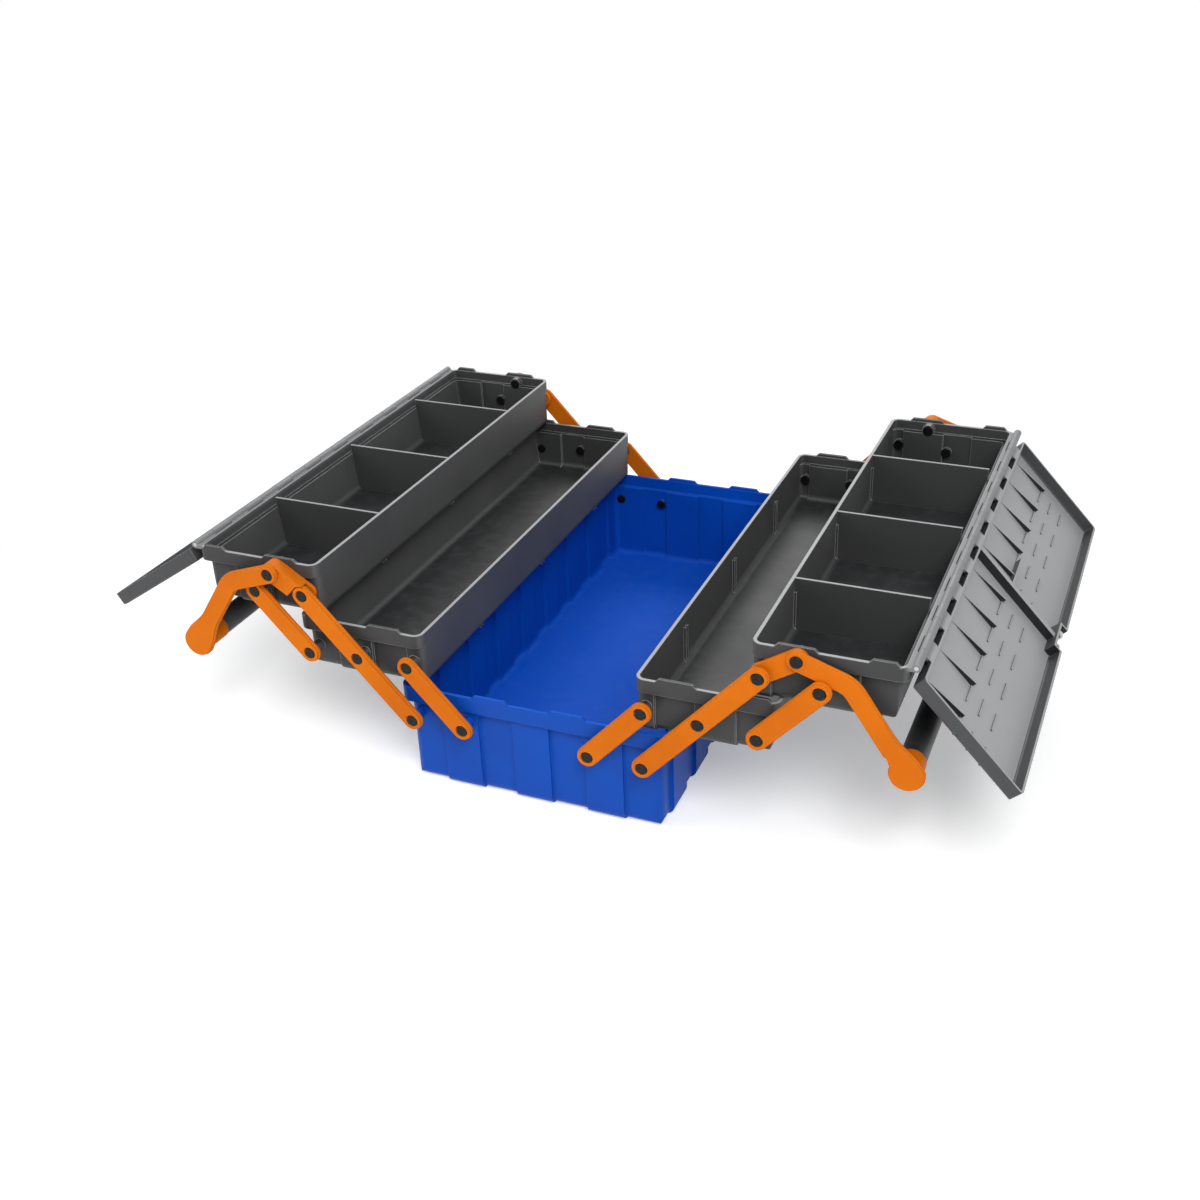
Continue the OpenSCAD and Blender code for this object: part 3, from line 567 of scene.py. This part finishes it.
def swell_layer(side, y0, y1, inset, both_sides):
    """Points and faces of one layer between two heights on the arm's face."""
    points, faces = [], []
    widest = math.sqrt(END_RADIUS ** 2 - SWELL_TO ** 2)
    for i in range(SWELL_STEPS + 1):
        back = SWELL_FROM + (SWELL_TO - SWELL_FROM) * i / SWELL_STEPS
        half = ARM_HALF + (widest - ARM_HALF) * (0.5 - 0.5 * math.cos(math.pi * i / SWELL_STEPS))
        inner = inset - half - PROUD if both_sides else -NOTCH_CLEAR
        for across in (half - inset + PROUD, inner):
            x = grip_x - back * math.cos(ARM_SLOPE) + across * math.sin(ARM_SLOPE)
            z = grip_z + back * math.sin(ARM_SLOPE) + across * math.cos(ARM_SLOPE)
            points += [(side * x, y0, z), (side * x, y1, z)]
    for i in range(SWELL_STEPS):
        a, b = 4 * i, 4 * i + 4
        faces += [(a, a + 1, b + 1, b), (a + 1, a + 3, b + 3, b + 1), (a + 2, a, b, b + 2)]
        if both_sides:
            faces.append((a + 3, a + 2, b + 2, b + 3))
    return points, faces


print("each layer has", SWELL_STEPS, "steps along", round(1000 * (SWELL_FROM - SWELL_TO), 1), "mm")

# %% [markdown]
# ## Four swellings on two handles
#
# Each handle has an outer arm at one end and an inner arm at the other, so that the
# two handles can lap past each other. The four swellings could be modelled one by
# one. One loop places them all from the same few numbers instead, and turns the
# faces of the mirrored ones the right way out. Each rides on its handle.

# %% Swell the four arms
BOX_END = 0.22
OUTER_ARM, INNER_ARM = (0.01105, 0.0042), (0.00315, 0.003)
FACE_INSET = 0.0008

swells = 0
for side_name, side in (("left", -1), ("right", 1)):
    for end_name, end in (("front", -1), ("rear", 1)):
        outer = side == end
        off, thick = OUTER_ARM if outer else INNER_ARM
        back_y, top_y = end * (BOX_END + off - PROUD), end * (BOX_END + off + thick + PROUD)
        ledge_y = end * (BOX_END + off + thick / 2 + PROUD)
        middle_y = end * (BOX_END + off + thick / 2 - PROUD)
        points, faces = swell_layer(side, back_y, ledge_y, 0.0, outer)
        more_points, more_faces = swell_layer(side, middle_y, top_y, FACE_INSET, outer)
        faces += [tuple(len(points) + k for k in face) for face in more_faces]
        mesh = bpy.data.meshes.new(f"{side_name}_{end_name}_arm_swell")
        mesh.from_pydata(points + more_points, [], faces)
        if not outer:
            mesh.flip_normals()
        mesh.materials.append(orange_plastic)
        swell = bpy.data.objects.new(mesh.name, mesh)
        bpy.context.scene.collection.objects.link(swell)
        shade_cleanly(swell)
        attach(swell, f"{side_name}_handle")
        swells += 1
print("arm ends swelled:", swells)

# %% [markdown]
# ## The white studio
#
# The photograph is a catalogue picture, white all round. Flooding the scene with
# light would make that white, but it would wash out the blue and the orange too. So
# white is only a colour that the camera sees. The Light Path node says which kind of
# ray is asking: camera rays see white, and so do the rays that a metal or a glass
# reflects or passes on. Every other ray sees plain paper and a grey sky, and the
# paper takes the shadow.

# %% Who sees the white
WHITE = rgba(1.0, 1.0, 1.0)
WHITE_RAYS = ("Is Camera Ray", "Is Glossy Ray", "Is Transmission Ray")


def sees_white(finish):
    """1 for the kinds of ray that see white, and 0 for all others."""
    path = finish.add("LightPath").outputs
    total = 0.0
    for ray in WHITE_RAYS:
        total = maths(finish, "ADD", total, path[ray], clamp=True)
    return total


print("white to:", WHITE_RAYS)

# %% [markdown]
# ## The floor
#
# The box stands on paper. Close to it the paper keeps the soft shadow, with a
# little light of its own that only the picture shows. Further out it fades to pure
# white, by its distance from the box, so no horizon shows. A backdrop with a curved
# sweep would do the same in a real studio, and would need more room here.

# %% Studio floor
PAPER_PER_METRE, PAPER_DARK, PAPER_PALE = 60.0, (0.9, 0.9, 0.9), (0.92, 0.92, 0.92)
PAPER_LIFT = 0.35
FADE_FROM, FADE_TO = 0.3, 0.75
FLOOR_HALF = 14.0


def studio_paper():
    """Paper that keeps the shadow near the object and turns white further out."""
    finish = Finish(bpy.data.materials.new("studio_floor"))
    seen = sees_white(finish)
    place = finish.add("NewGeometry").outputs["Position"]
    paper = noise(finish, place, PAPER_PER_METRE, 3.0)
    colour = blend(finish, paper, rgba(*PAPER_DARK), rgba(*PAPER_PALE))
    matte = finish.add("BsdfDiffuse", {"Color": colour})
    lift = finish.add("Emission", {"Color": WHITE, "Strength": times(finish, seen, PAPER_LIFT)})
    lifted = finish.add("AddShader", {0: matte.outputs[0], 1: lift.outputs[0]})
    white = finish.add("Emission", {"Color": WHITE})
    distance = finish.add("VectorMath", {0: place}, operation="LENGTH").outputs["Value"]
    away = times(finish, ramp(finish, distance, FADE_FROM, FADE_TO), seen)
    return finish.surface(
        finish.add("MixShader", {0: away, 1: lifted.outputs[0], 2: white.outputs[0]}))


corners = ((-1, -1), (1, -1), (1, 1), (-1, 1))
floor_mesh = bpy.data.meshes.new("studio_floor")
floor_mesh.from_pydata(
    [(x * FLOOR_HALF, y * FLOOR_HALF, 0.0) for x, y in corners], [], [(0, 1, 2, 3)])
floor_mesh.materials.append(studio_paper())
floor = bpy.data.objects.new("studio_floor", floor_mesh)
bpy.context.scene.collection.objects.link(floor)
print("floor:", 2 * FLOOR_HALF, "m across")

# %% [markdown]
# ## The world
#
# Light from all round fills the shadows inside the trays. The world gives it: a
# cool grey, dim enough that colours render as they are written, and white only to
# the rays that may see it. An image of a real studio would give livelier
# reflections, but it would have to be read from a file.

# %% Studio world
SKY_COLOUR, SKY_STRENGTH = rgba(0.95, 0.97, 1.0), 0.42

world = bpy.data.worlds.new("studio")
bpy.context.scene.world = world
sky = Finish(world, "OutputWorld")
soft_grey = sky.add("Background", {"Color": SKY_COLOUR, "Strength": SKY_STRENGTH})
plain_white = sky.add("Background", {"Color": WHITE})
sky.surface(sky.add(
    "MixShader", {0: sees_white(sky), 1: soft_grey.outputs[0], 2: plain_white.outputs[0]}))
print("sky strength:", SKY_STRENGTH)

# %% [markdown]
# ## The lamps
#
# The photograph has soft shadows and no hard glints, so its lamps were large. Three
# round area lamps do that: a key at the front right, a weaker fill at the left, and
# one behind that draws the rims. Small lamps or a sun would give sharp shadows that
# the photograph doesn't have.

# %% Soft lamps
LIT_POINT = Vector((0.0, 0.0, 0.1))
LAMPS = (
    # name, place in metres, size in metres, watts
    ("key", (1.0, -1.6, 2.0), 1.2, 42.0),
    ("fill", (-1.8, -0.9, 1.3), 1.4, 16.0),
    ("back", (-0.4, 1.9, 1.7), 1.2, 22.0),
)

for name, place, size, watts in LAMPS:
    lamp_data = bpy.data.lights.new(name, "AREA")
    lamp_data.shape, lamp_data.size, lamp_data.energy = "DISK", size, watts
    lamp = bpy.data.objects.new(name, lamp_data)
    lamp.location = place
    lamp.rotation_mode = "QUATERNION"
    lamp.rotation_quaternion = (LIT_POINT - Vector(place)).to_track_quat("-Z", "Y")
    bpy.context.scene.collection.objects.link(lamp)
print("lamps:", len(LAMPS))

# %% [markdown] ## Finishing
